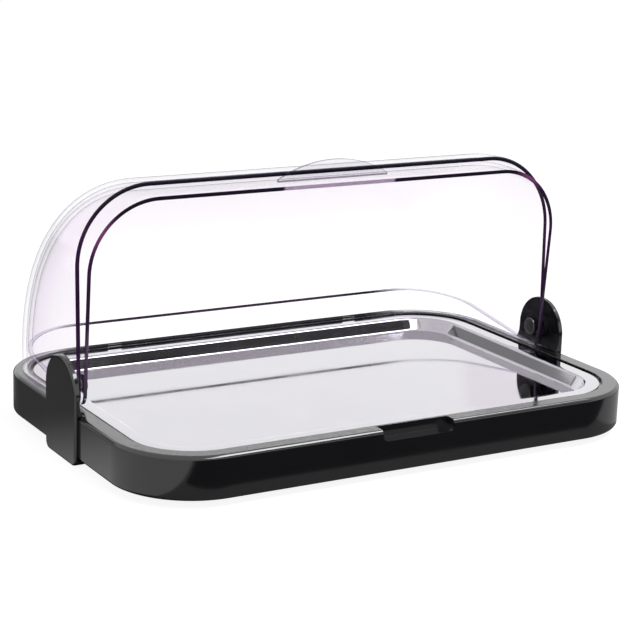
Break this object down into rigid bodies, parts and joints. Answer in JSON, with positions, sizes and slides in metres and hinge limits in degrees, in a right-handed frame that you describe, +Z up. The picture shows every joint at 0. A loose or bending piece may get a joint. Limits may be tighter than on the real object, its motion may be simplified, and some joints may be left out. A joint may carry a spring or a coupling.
{
  "type": "buffet display dome",
  "caption": "Long roll-top buffet dome: black moulded base, polished steel tray over cold packs, clear rear hood and a clear front hood that rolls back under it.",
  "frame": {"origin": "on the table under the middle of the base, at the underside of the feet", "axes": "+X along the long side to the right as seen from the front, +Y to the back, +Z up; the hoods turn on an axis along X"},
  "size_m": [0.4304, 0.29, 0.2079],
  "materials": {
    "black_gloss_plastic": "glossy black moulding",
    "polished_steel": "mirror-polished stainless steel sheet",
    "clear_hood_plastic": "clear plastic with a faint lavender tint and dark edges",
    "cold_pack_plastic": "satin moulded shell filled with cooling liquid",
    "pack_plug_plastic": "satin",
    "foot_rubber": "matt",
    "screw_steel": "zinc-plated"
  },
  "bodies": {
    "base": {"base_frame": "black_gloss_plastic", "base_pan": "black_gloss_plastic", "rear_hood": "clear_hood_plastic", "hinge_bracket_left": "black_gloss_plastic", "hinge_bracket_right": "black_gloss_plastic", "pivot_pin_left": "black_gloss_plastic", "pivot_pin_right": "black_gloss_plastic", "cold_pack_left": "cold_pack_plastic", "cold_pack_right": "cold_pack_plastic", "pack_plug_left": "pack_plug_plastic", "pack_plug_right": "pack_plug_plastic", "foot_front_left": "foot_rubber", "foot_front_right": "foot_rubber", "foot_rear_left": "foot_rubber", "foot_rear_right": "foot_rubber", "bracket_screw_left_1": "screw_steel", "bracket_screw_left_2": "screw_steel", "bracket_screw_right_1": "screw_steel", "bracket_screw_right_2": "screw_steel", "pan_screw_1": "screw_steel", "pan_screw_2": "screw_steel", "pan_screw_3": "screw_steel", "pan_screw_4": "screw_steel", "pan_screw_5": "screw_steel", "pan_screw_6": "screw_steel", "pan_screw_7": "screw_steel", "pan_screw_8": "screw_steel"},
    "front_hood": {"front_hood": "clear_hood_plastic"},
    "tray": {"tray": "polished_steel"}
  },
  "joints": [
    {"name": "front_hood_hinge", "type": "hinge", "parent": "base", "child": "front_hood", "pos_m": [0, -0.0049, 0.0549], "axis": [1, 0, 0], "range_deg": [-1.9, 88.3]},
    {"name": "tray_lift", "type": "slide", "parent": "base", "child": "tray", "axis": [0, 0, 1], "range_m": [0, 0.015]}
  ]
}
